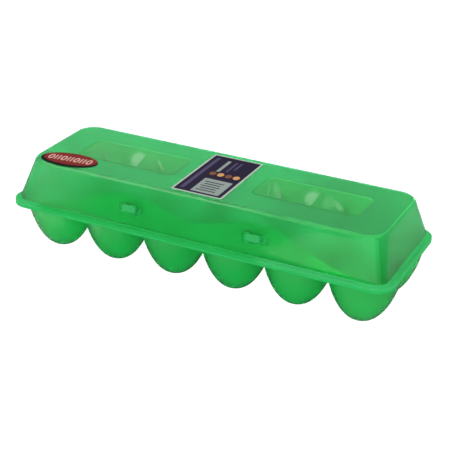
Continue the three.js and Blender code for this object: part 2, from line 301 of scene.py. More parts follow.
def cup_quarter(end, side):
    """Points and squares of a quarter cup in the +x +y quarter, outside and inside.

    End and side say whether the rim lies beyond it along x and along y."""
    centre_x = (CUP_COLUMNS - 1) / 2 * CUP_PITCH
    centre_y = ROW_PITCH / 2
    rim_x = RIM_LENGTH / 2 - EDGE_ROUNDING - centre_x if end else np.inf
    rim_y = RIM_DEPTH / 2 - EDGE_ROUNDING - centre_y if side else np.inf
    reach_x = rim_x if end else CUP_PITCH / 2
    reach_y = rim_y if side else ROW_PITCH / 2
    bowl_top = DECK_UNDERSIDE - MOUTH_ROUNDING
    skins = [(wall, CUP_RADIUS_X - wall, CUP_RADIUS_Y - wall) for wall in (0, WALL)]
    angles = [np.linspace(0, np.pi / 2, FAN_LINES), [np.arctan2(reach_y, reach_x)]]
    for _, radius_x, radius_y in skins:
        if not end:
            angles.append([np.arctan2(radius_y * np.sqrt(1 - (reach_x / radius_x) ** 2), reach_x)])
        if not side:
            angles.append([np.arctan2(reach_y, radius_x * np.sqrt(1 - (reach_y / radius_y) ** 2))])
    angle = np.minimum(np.unique(np.round(np.concatenate(angles), ANGLE_DIGITS)), np.pi / 2)
    edge, way_x, way_y = cell_edge(angle, reach_x, reach_y, rim_x, rim_y)
    cos, sin = np.cos(angle), np.sin(angle)
    rings = []
    for wall, radius_x, radius_y in skins:
        mouth = 1 / np.hypot(cos / radius_x, sin / radius_y)
        foot = CUP_FOOT / radius_x
        top = DECK_TOP if wall else DECK_UNDERSIDE
        cut = np.minimum(edge / mouth, 1)
        width_at_cut = np.clip((cut - foot) / (1 - foot), 0, 1)
        last_turn = np.arcsin(np.clip(bowl_depth(width_at_cut), 0, 1))
        turn = np.pi / 2 + np.linspace(0, 1, BOWL_STEPS)[:, None] * (last_turn - np.pi / 2)
        depth = np.sin(turn)
        width = foot + (1 - foot) * bowl_width(np.clip(depth, 0, 1))
        radius = width * mouth
        height = bowl_top - depth * (bowl_top - wall)
        is_open = cut >= 1 - 10.0 ** -ANGLE_DIGITS
        lines = [np.concatenate([np.zeros((1, len(angle))), radius])]
        heights = [np.concatenate([np.full((1, len(angle)), float(wall)), height])]
        for bend in quarter_turn(EDGE_STEPS)[0 if wall else 1:]:
            wide = np.minimum(mouth + MOUTH_ROUNDING * (1 - np.cos(bend)), edge)
            high = top - MOUTH_ROUNDING * (1 - np.sin(bend))
            lines.append(np.where(is_open, wide, radius[-1])[None])
            heights.append(np.where(is_open, high, height[-1])[None])
        start = lines[-1]
        share = np.linspace(0, 1, DECK_STEPS + 1)[1:, None]
        lines.append(np.where(is_open, start + share * (edge - start), radius[-1]))
        heights.append(np.where(is_open, top, height[-1]) * np.ones((DECK_STEPS, 1)))
        line = np.concatenate(lines)
        rings.append(stacked(line * cos, line * sin, np.concatenate(heights)))
    outside, inside = rings
    bend = quarter_turn(EDGE_STEPS)
    out = EDGE_ROUNDING * np.concatenate([np.sin(bend), np.cos(bend)])[:, None]
    lower, upper = EDGE_ROUNDING * (1 - np.cos(bend)), EDGE_ROUNDING * (1 - np.sin(bend))
    high = np.concatenate([DECK_UNDERSIDE + lower, DECK_TOP - upper])[:, None]
    edge_ring = stacked(edge * cos + out * way_x, edge * sin + out * way_y, high)
    on_rim = way_x + way_y > 0
    patches = [patch(outside, flipped=True), patch(inside)]
    if on_rim.any():
        patches.append(patch(edge_ring[:, on_rim], flipped=True))
    return patches


# %% [markdown]
# The quarters are mirrored into place. A mirror image turns every face inside out, so its squares are
# numbered the other way round, and at the end Blender makes all faces point outwards once the seams are
# merged.

# %% The whole tray
tray_patches = []
for column in range(CUP_COLUMNS):
    for row in range(CUP_ROWS):
        centre = np.array([(column - (CUP_COLUMNS - 1) / 2) * CUP_PITCH,
                           (row - (CUP_ROWS - 1) / 2) * ROW_PITCH, 0])
        for side_x in (-1, 1):
            for side_y in (-1, 1):
                at_end = column == (CUP_COLUMNS - 1 if side_x > 0 else 0)
                at_side = row == (CUP_ROWS - 1 if side_y > 0 else 0)
                for points, squares in cup_quarter(at_end, at_side):
                    tray_patches.append((points * (side_x, side_y, 1) + centre,
                                         squares if side_x * side_y > 0 else squares[:, ::-1]))
tray = finish_piece(make_piece("egg_cup_tray", *tray_patches))
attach(tray, "base")
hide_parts("base_rim", *(f"egg_cup_{row}_{column + 1}" for row in ("front", "back")
                                for column in range(CUP_COLUMNS)))

# %% [markdown]
# ## The divider posts
# A hollow post stands on the deck wherever four cups meet. It keeps the eggs apart and holds the lid up
# when boxes are stacked. It is a profile turned about its own axis: a radius that shrinks as the post
# rises, with a round tip. Its foot is sunk a little into the deck, so that no gap shows.

# %% Posts between the cups
POST_COUNT = 5
POST_FOOT = 8.4 * MM
POST_TIP = 2.2 * MM
POST_TOP = 70.6 * MM
POST_POWER = 1.5
POST_SIDES = 40
POST_BANDS = 20
POST_TIP_BANDS = 6
POST_SINK = 0.2 * MM


def post_shell(wall):
    """A turned profile: the radius falls from foot to tip with the height left to climb, to the power 1.5."""
    share = np.linspace(0, 1, POST_BANDS + 1)
    height = (DECK_TOP - POST_SINK) + share * (POST_TOP - POST_TIP - DECK_TOP)
    radius = POST_TIP + (POST_FOOT - POST_TIP) * (1 - share) ** POST_POWER - wall
    bend = quarter_turn(POST_TIP_BANDS)[1:]
    height = np.concatenate([height, height[-1] + (POST_TIP - wall) * np.sin(bend)])
    radius = np.concatenate([radius, (POST_TIP - wall) * np.cos(bend)])
    around = np.linspace(0, 2 * np.pi, POST_SIDES, endpoint=False)
    return stacked(radius[:, None] * np.cos(around), radius[:, None] * np.sin(around), height[:, None])


outer, inner = post_shell(0), post_shell(WALL)
foot_ring = np.stack([outer[0], inner[0]])
post_points, post_faces = joined([patch(outer, closed=True), patch(inner, closed=True, flipped=True),
                                  patch(foot_ring, closed=True, flipped=True)])
divider_posts = finish_piece(make_piece("divider_posts", *(
    (post_points + ((number - (POST_COUNT - 1) / 2) * CUP_PITCH, 0, 0), post_faces)
    for number in range(POST_COUNT))))
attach(divider_posts, "base")
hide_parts(*(f"divider_post_{number + 1}" for number in range(POST_COUNT)))

# %% [markdown]
# ## The lid
# The lid is one skin of even thickness. From its underside up it has a flat rim with a rounded edge, a
# small hollow fillet, walls that lean in, and a round crown edge. Each level is a rounded rectangle, and
# all levels share the same marks round the outline, so that the levels join into long clean bands. The
# marks lie closest where something is cut or stepped: at the latch slots in the front wall and at the edges
# of the windows.

# %% Marks round the lid's outline
FOOT_LENGTH, FOOT_DEPTH, FOOT_CORNER = 291.6 * MM, 102.4 * MM, 10 * MM
CROWN_LENGTH, CROWN_DEPTH, CROWN_CORNER = 278.8 * MM, 86.1 * MM, 15 * MM
CROWN_ROUNDING = 3.9 * MM
CROWN_STEPS = 8
RIM_TOP = LID_UNDERSIDE + 2.1 * MM
RIM_ROUNDING = 0.8 * MM
FOOT_FILLET = 1.4 * MM
LID_SEAT = 0.2 * MM
WINDOW = WINDOW_LENGTH, WINDOW_DEPTH, WINDOW_CORNER = 80.5 * MM, 34 * MM, 5 * MM
WINDOW_OFFSET = 71.75 * MM
WINDOW_SINK = 0.4 * MM
WINDOW_STEP = 0.9 * MM
SLOT = SLOT_LENGTH, SLOT_HEIGHT, SLOT_CORNER = 17.5 * MM, 7 * MM, 1.6 * MM
SLOT_OFFSET = CUP_PITCH
SLOT_MIDDLE = 54.4 * MM
SLOT_STEPS = 4
TOP_X = CROWN_LENGTH / 2 - CROWN_CORNER
TOP_Y = CROWN_DEPTH / 2 - CROWN_CORNER
CORNER_STEPS = 10
WINDOW_MARKS = 7
MARK_POWER = 1.6
MARK_DIGITS = 7
WIDEST_ALONG, WIDEST_ACROSS, WIDEST_UP = 3.5 * MM, 3 * MM, 2 * MM


def near_edge(edge):
    """Marks on both sides of a window's edge, closest at the edge: an even row raised to the power 1.6."""
    share = np.linspace(-1, 1, 2 * WINDOW_MARKS + 1)
    return edge + np.sign(share) * np.abs(share) ** MARK_POWER * WINDOW_CORNER


def filled(marks, low, high, widest):
    """The marks between low and high, with even ones added wherever a gap is wider than the widest."""
    marks = np.unique(np.round(marks, MARK_DIGITS))
    marks = np.concatenate([[low], marks[(marks > low + TOUCH) & (marks < high - TOUCH)], [high]])
    counts = np.maximum(np.ceil(np.diff(marks) / widest).astype(int), 1)
    rows = [np.linspace(a, b, n, endpoint=False) for a, b, n in zip(marks[:-1], marks[1:], counts)]
    return np.concatenate(rows + [[high]])


slot_bend = quarter_turn(SLOT_STEPS)
slot_marks = SLOT_LENGTH / 2 - SLOT_CORNER * (1 - np.cos(slot_bend))
marks_x = filled(np.concatenate([[0]] + [row for side in (-1, 1) for way in (-1, 1) for row in (
    side * SLOT_OFFSET + way * slot_marks,
    near_edge(side * WINDOW_OFFSET + way * WINDOW_LENGTH / 2))]), -TOP_X, TOP_X, WIDEST_ALONG)
marks_y = filled(np.concatenate([near_edge(way * WINDOW_DEPTH / 2) for way in (-1, 1)]),
                 -TOP_Y, TOP_Y, WIDEST_ACROSS)
quarter = quarter_turn(CORNER_STEPS)
print(len(marks_x), "marks along the lid,", len(marks_y), "marks across it")

# %% [markdown]
# A mark knows which straight side or which corner it is on. On a wider level the straight sides grow and
# the corner keeps its turn. Near the middle of the long sides the marks stay upright, so that the slots
# come out square.

# %% Levels of the lid
SQUARE_ZONE = 62 * MM
turns = quarter[:-1]
runs = [(marks_x[:-1], -1, -np.pi / 2), (TOP_X, -1, turns - np.pi / 2),
        (TOP_X, marks_y[:-1] / TOP_Y, 0), (TOP_X, 1, turns),
        (marks_x[:0:-1], 1, np.pi / 2), (-TOP_X, 1, turns + np.pi / 2),
        (-TOP_X, marks_y[:0:-1] / TOP_Y, np.pi), (-TOP_X, -1, turns + np.pi)]
mark_x, mark_y, mark_turn = np.concatenate([stacked(*run) for run in runs]).T


def stretched(marks, reach):
    """Marks along the lid moved outwards beyond the square zone, so that the last one is at this reach."""
    return marks + np.sign(marks) * (reach - TOP_X) * smooth_step(np.abs(marks), SQUARE_ZONE, TOP_X)


def lid_level(length, depth, corner, height):
    """One level: sides stretched to this length and depth, plus the corner radius each mark's way."""
    reach_x, reach_y = length / 2 - corner, depth / 2 - corner
    return stacked(stretched(mark_x, reach_x) + corner * np.cos(mark_turn),
                   mark_y * reach_y + corner * np.sin(mark_turn), height)


def lid_wall(height):
    """Length, depth and corner of the leaning wall at a height: the share of the way from foot to crown."""
    share = (height - RIM_TOP) / (LID_TOP - CROWN_ROUNDING - RIM_TOP)
    return [low + share * (high - low) for low, high in (
        (FOOT_LENGTH, CROWN_LENGTH), (FOOT_DEPTH, CROWN_DEPTH), (FOOT_CORNER, CROWN_CORNER))]


levels = [lid_level(RIM_LENGTH, RIM_DEPTH, RIM_CORNER, LID_UNDERSIDE - LID_SEAT)]
for bend in quarter_turn(EDGE_STEPS):
    inset = RIM_ROUNDING * (1 - np.cos(bend))
    levels.append(lid_level(RIM_LENGTH - 2 * inset, RIM_DEPTH - 2 * inset, RIM_CORNER - inset,
                            RIM_TOP - RIM_ROUNDING * (1 - np.sin(bend))))
for bend in np.linspace(0, np.pi / 2 - LID_LEAN, EDGE_STEPS + 1):
    outset = FOOT_FILLET * (1 - np.sin(bend))
    height = RIM_TOP + FOOT_FILLET * (1 - np.cos(bend))
    length, depth, corner = lid_wall(height)
    levels.append(lid_level(length + 2 * outset, depth + 2 * outset, corner + outset, height))
crown_start = LID_TOP - CROWN_ROUNDING * (1 - np.sin(LID_LEAN))
slot_marks_z = np.concatenate([SLOT_MIDDLE + way * (SLOT_HEIGHT / 2 - SLOT_CORNER * (1 - np.sin(slot_bend)))
                               for way in (-1, 1)])
wall_heights = filled(slot_marks_z, height, crown_start, WIDEST_UP)[1:]
levels += [lid_level(*lid_wall(height), height) for height in wall_heights]
length, depth, corner = lid_wall(crown_start)
for bend in np.linspace(LID_LEAN, np.pi / 2, CROWN_STEPS + 1)[1:]:
    inset = CROWN_ROUNDING * (np.cos(LID_LEAN) - np.cos(bend))
    levels.append(lid_level(length - 2 * inset, depth - 2 * inset, corner - inset,
                            LID_TOP - CROWN_ROUNDING * (1 - np.sin(bend))))
crown_length, crown_depth, crown_corner = length - 2 * inset, depth - 2 * inset, corner - inset
levels = np.stack(levels)
print(len(levels), "levels of", levels.shape[1], "marks")

# %% [markdown]
# The slots are cut by leaving out the squares inside their outline. A square with one corner inside becomes
# the triangle of the other three, which draws the slot's round corners.
#
# The top is a sheet of rows. Each row runs straight across and ends on the crown's inner edge, whatever its
# length there. The two windows are sunk by four tenths of a millimetre along their rounded outline.

# %% Skin of the lid
END_COLUMNS = 6
wall_squares = grid_squares(len(levels), levels.shape[1], closed=True)
skin = levels.reshape(-1, 3)
in_slot = from_pair(skin[:, 0], skin[:, 2] - SLOT_MIDDLE, SLOT_OFFSET, SLOT) < -TOUCH
in_slot &= (skin[:, 1] < 0) & (np.abs(skin[:, 0]) < SQUARE_ZONE)
cut_corners = in_slot[wall_squares]
kept = wall_squares[~cut_corners.any(axis=1)]
bevelled = wall_squares[cut_corners.sum(axis=1) == 1]
slot_corners = bevelled[~in_slot[bevelled]].reshape(-1, 3)

top_reach_x, top_reach_y = crown_length / 2 - crown_corner, crown_depth / 2 - crown_corner
corner_rows = crown_corner * np.sin(quarter)
row_y = np.concatenate([-top_reach_y - corner_rows[::-1], marks_y[1:-1] / TOP_Y * top_reach_y,
                        top_reach_y + corner_rows])
past_corner = np.maximum(np.abs(row_y) - top_reach_y, 0)
row_end = top_reach_x + np.sqrt(np.maximum(crown_corner ** 2 - past_corner ** 2, 0))
beyond = top_reach_x + (row_end[:, None] - top_reach_x) * np.linspace(0, 1, END_COLUMNS + 1)[1:]
column_x = np.tile(stretched(marks_x, top_reach_x), (len(row_y), 1))
top_x = np.concatenate([-beyond[:, ::-1], column_x, beyond], axis=1)
window = from_pair(top_x, row_y[:, None], WINDOW_OFFSET, WINDOW)
top_z = LID_TOP - WINDOW_SINK * (1 - smooth_step(window, -WINDOW_STEP, WINDOW_STEP))
lid = make_piece("lid_skin", (skin, [kept, slot_corners]), patch(stacked(top_x, row_y[:, None], top_z)))
thicken(lid, WALL, even=True)
finish_piece(lid)
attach(lid, "lid")
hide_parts("lid_shell")

# %% [markdown]
# The lid has several finishes from one mould. Its walls are glossy, its top is finely frosted and its two
# windows are polished. The end walls are seen at a slant, through more plastic, and look greyer, and their
# colour is painted greyer as painted shade. The foot rim is seen edge-on and looks deeper and cloudier. The
# inside faces are painted paler than the outside ones, as painted light: in a real milky wall the light
# scatters many times, but the shader counts one passage through each face, so two faces of full colour
# would come out too dark. Under the crown the inside faces have a paler colour of their own, painted light
# of the same kind.
#
# Each face is sorted by where its middle lies and by which way it looks. The number it gets is its place in
# the lid's list of materials.

# %% Finishes of the lid
TOP_FACES, END_FACES = 0.97, 0.6
CROWN_BAND = 3 * MM
GLOSSY, FROSTED, POLISHED, FOOT, END_WALL, INNER, PAINTED_LIGHT_INSIDE = range(7)


def face_middles(piece):
    """The middle of each face of a piece, as one array."""
    return np.array([face.center for face in piece.data.polygons])


middles = face_middles(lid)
normals = np.array([face.normal for face in lid.data.polygons])
outward, upright = np.abs(normals[:, 0]), np.abs(normals[:, 2])
inside = np.sum(normals * (middles - (0, MIDDLE_Y, DECK_TOP)), axis=1) < 0
from_window = from_pair(middles[:, 0], middles[:, 1] - MIDDLE_Y, WINDOW_OFFSET, WINDOW)
on_top = middles[:, 2] > LID_TOP - CROWN_BAND
finish = np.where(on_top & (upright > TOP_FACES), FROSTED, GLOSSY)
finish[(finish == GLOSSY) & (outward > END_FACES)] = END_WALL
finish[inside] = np.where(on_top[inside], PAINTED_LIGHT_INSIDE, INNER)
finish[on_top & (from_window < WINDOW_STEP)] = POLISHED
finish[~inside & (middles[:, 2] < RIM_TOP + FOOT_FILLET)] = FOOT
print("faces glossy, frosted, polished, foot, end wall, inner, lining:", np.bincount(finish).tolist())

# %% [markdown]
# ## The locking flap
# The flap stands on its own hinge along the front of the tray and leans against the inside of the lid's
# front wall. Its two humps carry the catch buttons. It is a sheet: one direction runs along the box, the
# other climbs from the hinge to an outline drawn as a smooth curve through nine chosen heights.

# %% The flap
FLAP_LENGTH = 251 * MM
FLAP_HEIGHT = 23.8 * MM
FLAP_THICKNESS = 1.1 * MM
FLAP_START = 0.3 * MM
FLAP_EDGE, FLAP_EDGE_ANGLE = 0.3 * MM, np.radians(60)
FLAP_COLUMNS, FLAP_ROWS = 181, 25
FLAP_ALONG_SHARES = np.array([0, 0.167, 0.307, 0.414, 0.51, 0.63, 0.725, 0.857, 1])
FLAP_UP_SHARES = np.array([0.547, 0.778, 0.956, 1, 0.951, 0.72, 0.498, 0.28, 0.1])
hinge_spot = next(joint["pos_m"] for joint in frame["record"]["behaviour"]["joints"]
                  if joint["name"] == "flap_hinge")
FLAP_AXIS_Y = hinge_spot[1] - MIDDLE_Y
FLAP_AXIS_Z = hinge_spot[2]


def smooth_curve(at, places, values):
    """A curve through given values: cubics between them, with the slope of the neighbours at each."""
    slope = np.gradient(values, places)
    number = np.clip(np.searchsorted(places, at) - 1, 0, len(places) - 2)
    gap = places[number + 1] - places[number]
    t = (at - places[number]) / gap
    return ((2 * t ** 3 - 3 * t ** 2 + 1) * values[number] + (t ** 3 - 2 * t ** 2 + t) * gap * slope[number]
            + (3 * t ** 2 - 2 * t ** 3) * values[number + 1] + (t ** 3 - t ** 2) * gap * slope[number + 1])


def on_flap(along, forward, up):
    """Points along the hinge, forward from the flap's middle and up its height, turned to its lean."""
    return stacked(along, FLAP_AXIS_Y - forward * np.cos(LID_LEAN) + up * np.sin(LID_LEAN),
                   FLAP_AXIS_Z + up * np.cos(LID_LEAN) + forward * np.sin(LID_LEAN))


along = np.linspace(-1, 1, FLAP_COLUMNS)
outline = FLAP_HEIGHT * smooth_curve(np.abs(along), FLAP_ALONG_SHARES, FLAP_UP_SHARES)
up = FLAP_START + np.linspace(0, 1, FLAP_ROWS)[:, None] * (outline - FLAP_START)
flap = make_piece("locking_flap_sheet", patch(on_flap(along * FLAP_LENGTH / 2, FLAP_THICKNESS / 2, up)))
thicken(flap, FLAP_THICKNESS)
edges = flap.modifiers.new("soft edges", "BEVEL")
edges.width = FLAP_EDGE
edges.segments = 2
edges.limit_method = "ANGLE"
edges.angle_limit = FLAP_EDGE_ANGLE
finish_piece(flap)
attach(flap, "flap")
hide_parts("locking_flap")

# %% [markdown]
# ## The catch buttons
# Two buttons on the flap snap into the lid's slots. Each is a stack of rounded rectangles that ends in a
# soft edge.

# %% Buttons on the flap
BUTTON_LENGTH, BUTTON_HEIGHT, BUTTON_REACH = 11.4 * MM, 5.2 * MM, 5 * MM
BUTTON_ROUNDING = 1.5 * MM
BUTTON_CORNER = 1.8 * MM
BUTTON_UP = 14.1 * MM
BUTTON_STEPS = 5
bend = quarter_turn(BUTTON_STEPS)
button_inset = np.concatenate([[0], BUTTON_ROUNDING * (1 - np.cos(bend))])
button_out = np.concatenate([[0], BUTTON_REACH - BUTTON_ROUNDING * (1 - np.sin(bend))])
for name, side in (("left", -1), ("right", 1)):
    rings = np.stack([rounded_ring(BUTTON_LENGTH - 2 * inset, BUTTON_HEIGHT - 2 * inset,
                                   BUTTON_CORNER - inset) for inset in button_inset])
    rings = np.concatenate([np.zeros_like(rings[:1]), rings, np.zeros_like(rings[:1])])
    out = FLAP_THICKNESS / 2 + np.concatenate([[0], button_out, button_out[-1:]])[:, None]
    button_points = on_flap(side * SLOT_OFFSET + rings[..., 0], out, BUTTON_UP + rings[..., 1])
    button = finish_piece(make_piece(f"catch_button_nose_{name}", patch(button_points, closed=True)))
    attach(button, "flap")
    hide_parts(f"catch_button_{name}")

# %% [markdown]
# ## The lid's living hinge
# Along the back the rims are joined by a web so thin that it folds instead of breaking. Here it is a narrow
# strip that runs out of the tray's rim, round the fold and back into the lid's rim.

# %% The folding web
WEB_LENGTH = 250 * MM
WEB_THICKNESS = 0.5 * MM
WEB_BEND = 0.5 * MM
WEB_ROOT = RIM_DEPTH / 2 - 0.2 * MM
WEB_COLUMNS, WEB_BANDS = 41, 13
FOLD_Z = (DECK_TOP + LID_UNDERSIDE) / 2
FOLD_Y = RIM_DEPTH / 2 + 1.1 * MM
bend = np.linspace(-np.pi / 2, np.pi / 2, WEB_BANDS)
path_y = np.concatenate([[WEB_ROOT], FOLD_Y + WEB_BEND * np.cos(bend), [WEB_ROOT]])
path_z = np.concatenate([[FOLD_Z - WEB_BEND], FOLD_Z + WEB_BEND * np.sin(bend), [FOLD_Z + WEB_BEND]])
web_x = np.linspace(-WEB_LENGTH / 2, WEB_LENGTH / 2, WEB_COLUMNS)
web = make_piece("folding_web", patch(stacked(web_x, path_y[:, None], path_z[:, None])))
thicken(web, WEB_THICKNESS, offset=0)
finish_piece(web)
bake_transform(web)
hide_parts("lid_hinge_lower_leaf", "lid_hinge_upper_leaf")

# %% [markdown]
# ## The oval sticker
# The sticker is a film cut to an oval and laid on the crown's front left corner. It is as thick as the
# solid it covers, and a little deeper, because its dark printed border belongs to it.

# %% A film cut to an oval
STICKER_LENGTH, STICKER_DEPTH = 45.2 * MM, 24.6 * MM
STICKER_TURN = np.radians(5.7)
STICKER_SHIFT = np.array([1, -0.4, 0]) * MM
STICKER_SIDES = 96
low, high = np.array(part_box("oval_sticker"))
STICKER_MIDDLE = (low + high) / 2 + STICKER_SHIFT
angle = np.linspace(0, 2 * np.pi, STICKER_SIDES, endpoint=False)
along, across = STICKER_LENGTH / 2 * np.cos(angle), STICKER_DEPTH / 2 * np.sin(angle)
cos, sin = np.cos(STICKER_TURN), np.sin(STICKER_TURN)
outline = stacked(along * cos - across * sin, along * sin + across * cos, 0)
film_points = np.stack([size * outline + (*STICKER_MIDDLE[:2], height)
                        for size, height in ((0, low[2]), (1, low[2]), (1, high[2]), (0, high[2]))])
film = finish_piece(make_piece("oval_film", patch(film_points, closed=True)))
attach(film, "lid")
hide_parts("oval_sticker")

# %% [markdown]
# ## Node materials
# A material here is a few nodes around Blender's Principled shader. One function adds a node with its
# settings and its links, and one turns the sRGB hex colour that a designer writes into the linear light
# that a renderer adds up. A smooth step, sums and blends of values, a fine grain and the finished surface
# have a function each, because nearly every material uses them.

# %% Colour and node helpers
PIT_DEPTH = 0.02 * MM


def linear(hex_colour):
    """Linear light from a hex colour: the sRGB curve undone for red, green and blue."""
    values = [int(hex_colour[start:start + 2], 16) / 255 for start in (1, 3, 5)]
    return tuple(v / 12.92 if v <= 0.04045 else ((v + 0.055) / 1.055) ** 2.4 for v in values) + (1.0,)


def add_node(tree, kind, settings=None, **links):
    """Adds a node, sets its properties and sockets, and links the sockets that are given an output."""
    node = tree.nodes.new("ShaderNode" + kind)
    for name, value in (settings or {}).items():
        if hasattr(node, name) and name not in node.inputs:
            setattr(node, name, value)
        else:
            node.inputs[name].default_value = value
    for name, value in links.items():
        numbered = name.startswith("in") and name[2:].isdigit()
        socket = node.inputs[int(name[2:]) if numbered else name]
        if isinstance(value, bpy.types.NodeSocket):
            tree.links.new(value, socket)
        else:
            socket.default_value = value
    return node


def stepped(tree, value, low, high, at_low=0.0, at_high=1.0):
    """A smooth step from one value to another while a share goes from low to high."""
    return add_node(tree, "MapRange", {
        "interpolation_type": "SMOOTHSTEP", "From Min": low, "From Max": high,
        "To Min": at_low, "To Max": at_high}, Value=value).outputs["Result"]


def combined(tree, operation, first, *others):
    """Values added, multiplied, divided or compared, one after another."""
    for other in others:
        first = add_node(tree, "Math", {"operation": operation}, in0=first, in1=other).outputs["Value"]
    return first


def vectors(tree, operation, first, second=(0, 0, 0)):
    """The same for one or two vectors, where a length and a dot product come out as plain values."""
    node = add_node(tree, "VectorMath", {"operation": operation}, in0=first, in1=second)
    return node.outputs["Value" if operation in ("LENGTH", "DOT_PRODUCT") else "Vector"]


def mixed(tree, share, first, second):
    """Two colours blended by a share."""
    return add_node(tree, "Mix", {"data_type": "RGBA"}, Factor=share, in6=first, in7=second).outputs[2]


def chosen(tree, share, first, second):
    """The first value where the share is 0, and the second where it is 1."""
    return add_node(tree, "Mix", {"data_type": "FLOAT"}, Factor=share, in2=first, in3=second).outputs[0]


def bumped(tree, place, grain, strength):
    """A fine grain of this size, as a bump for a shader's normal."""
    pits = add_node(tree, "TexNoise", {"Scale": 1 / grain, "Detail": 1.0}, Vector=place)
    return add_node(tree, "Bump", {"Strength": strength, "Distance": PIT_DEPTH},
                    Height=pits.outputs["Fac"]).outputs["Normal"]


def add_surface(tree, settings, **links):
    """The Principled shader with these settings and links, as the material's surface."""
    shader = add_node(tree, "BsdfPrincipled", settings, **links)
    add_node(tree, "OutputMaterial", Surface=shader.outputs["BSDF"])


def new_material(name):
    """An empty node material, its node tree, and the piece's own coordinates in metres."""
    material = bpy.data.materials.new(name)
    material.use_nodes = True
    tree = material.node_tree
    tree.nodes.clear()
    place = add_node(tree, "TexCoord").outputs["Object"]
    return material, tree, place


def put_on(piece, *materials, numbers=None):
    """Gives a piece these materials, and each of its faces the one of its number."""
    piece.data.materials.clear()
    for material in materials:
        piece.data.materials.append(material)
    if numbers is not None:
        piece.data.polygons.foreach_set("material_index", numbers.astype(np.int32))


# %% [markdown]
# ## Translucent polypropylene
# Natural polypropylene is milky and the pigment only tints it. Light goes into the wall, scatters and comes
# out on both sides, so a thin wall glows, and two walls behind each other look deeper in colour. `clear` is
# the share of the light that passes through, and the rest is scattered back. `blur` says how milky the
# passage is. The coat is the moulded skin, which mirrors the room, and `gloss` is its roughness. Under it
# the wall bends light less than a solid block would, because the light leaves again on the other side, so
# its own index is low.
#
# `beside` gives a second colour, which takes over with the distance from a middle along the box: near the
# first distance it starts, and at the second it is complete. Painted light makes the glossy walls paler near
# the front wall's right end, and painted shade makes the frosted top darker towards its right end. The foot
# rim turns paler towards both ends. The posts are thin, and painted pale for the light they catch. The
# buttons are thick and cloudy. The flap has no coat, because it is pressed onto the lid's wall.

# %% The plastic's finishes
POLYPROPYLENE_IOR = 1.49
THIN_WALL_IOR = 1.2
MOULD_GRAIN = 0.6 * MM
FLOW_SIZE = 40 * MM
FLOW_LEAST, FLOW_MOST = 0.94, 1.06


def polypropylene(name, colour, clear, blur=0.8, gloss=0.06, coat=1.0, depth=0.12, beside=None):
    """Moulded polypropylene: tinted, partly see-through, with slow flow shading and a fine mould grain."""
    material, tree, place = new_material(name)
    flow = add_node(tree, "TexNoise", {"Scale": 1 / FLOW_SIZE, "Detail": 2.0}, Vector=place)
    shade = add_node(tree, "MapRange", {"To Min": FLOW_LEAST, "To Max": FLOW_MOST},
                     Value=flow.outputs["Fac"]).outputs["Result"]
    tint = linear(colour)
    # A second colour along the box: on the glossy walls and the top it paints light and shade.
    if beside:
        other, middle, near, far = beside
        along = add_node(tree, "SeparateXYZ", Vector=place).outputs["X"]
        away = combined(tree, "ABSOLUTE", combined(tree, "SUBTRACT", along, middle), 0.0)
        tint = mixed(tree, stepped(tree, away, near, far), tint, linear(other))
    else:
        tint = tint[:3]
    tint = add_node(tree, "VectorMath", {"operation": "SCALE"}, in0=tint, Scale=shade)
    add_surface(tree, {
        "IOR": THIN_WALL_IOR, "Specular IOR Level": 0.0, "Roughness": blur, "Transmission Weight": clear,
        "Coat Weight": coat, "Coat IOR": POLYPROPYLENE_IOR, "Coat Roughness": gloss},
        **{"Base Color": tint.outputs["Vector"], "Normal": bumped(tree, place, MOULD_GRAIN, depth)})
    return material


# Painted light: the glossy walls are paler near 112 mm right of the middle, which brightens the front wall's
# right end.
glossy = polypropylene("glossy_polypropylene", "#76fcb2", clear=1.0, gloss=0.04,
                       beside=("#76e2a8", 112 * MM, 10 * MM, 34 * MM))
# Painted shade: the frosted top turns darker towards its right end.
frosted = polypropylene("frosted_polypropylene", "#3ccc7c", clear=0.65, gloss=0.3, depth=0.3,
                        beside=("#3cb66e", -60 * MM, 90 * MM, 150 * MM))
polished = polypropylene("polished_polypropylene", "#54d078", clear=0.85, blur=0.3, gloss=0.0, depth=0.0)
edge_on = polypropylene("edge_on_polypropylene", "#22ca68", clear=0.4, blur=0.5, gloss=0.35, coat=0.35)
# Painted shade: the end walls are a greyer copy of the glossy walls.
end_wall = polypropylene("end_wall_polypropylene", "#48bc7c", clear=1.0, gloss=0.04)
foot = polypropylene("foot_polypropylene", "#22c45c", clear=0.4, blur=0.5, gloss=0.2, coat=0.2,
                     beside=("#44d078", -35 * MM, 80 * MM, 98 * MM))
# Painted light: the inside faces are paler than the outside plastic, for light that a real milky wall
# scatters many times.
inner = polypropylene("inner_polypropylene", "#ccecd0", clear=0.94, coat=0.0)
painted_light_inside = polypropylene("lining_polypropylene", "#b0e4b0", clear=0.9)
tray_plastic = polypropylene("moulded_polypropylene", "#16e074", clear=0.88, blur=0.5)
# Painted light: the posts are much paler than the tray, for the light they catch.
posts_painted_pale = polypropylene("posts_painted_pale_polypropylene", "#d0f8e0", clear=0.92, blur=0.5)
flap_plastic = polypropylene("pressed_on_polypropylene", "#24de8a", clear=0.25, blur=0.5, coat=0.0)
button_plastic = polypropylene("button_polypropylene", "#2cba60", clear=0.2, blur=0.5, gloss=0.3, coat=0.5)

# %% [markdown]
# The tray has three finishes: its own plastic on the outside, the painted paler colour of the lid's inside
# on every face that looks up, which is painted light, and the edge-on plastic round its rim. The flap is
# edge-on plastic inside the slots, where it lies free.

